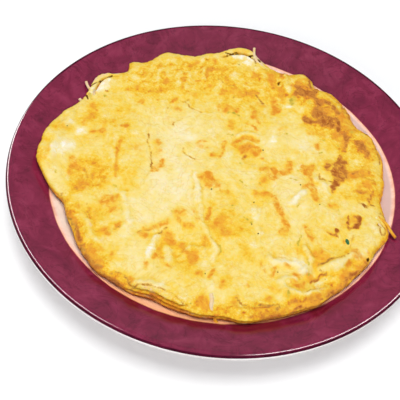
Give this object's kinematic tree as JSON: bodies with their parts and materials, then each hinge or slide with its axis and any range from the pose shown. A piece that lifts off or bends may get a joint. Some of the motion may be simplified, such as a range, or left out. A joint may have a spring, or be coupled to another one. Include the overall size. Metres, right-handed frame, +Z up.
{
  "type": "omelette on a dinner plate",
  "caption": "Flat round pan-fried omelette with browned patches and a folded, leafy edge, lying on a wide-rimmed burgundy dinner plate with a cream well.",
  "frame": {"origin": "on the table, under the middle of the plate's foot ring", "axes": "+Z up, out of the plate's floor; +X to the right and +Y away from the diner"},
  "size_m": [0.28, 0.28, 0.0243],
  "materials": {
    "glaze": "glossy mottled burgundy glaze on the rim, cream glaze with a peach edge in the well",
    "egg": "moist pan-fried egg, pale yellow with orange and brown fried patches"
  },
  "bodies": {
    "root": {"plate": "glaze", "omelette": "egg"}
  },
  "joints": []
}
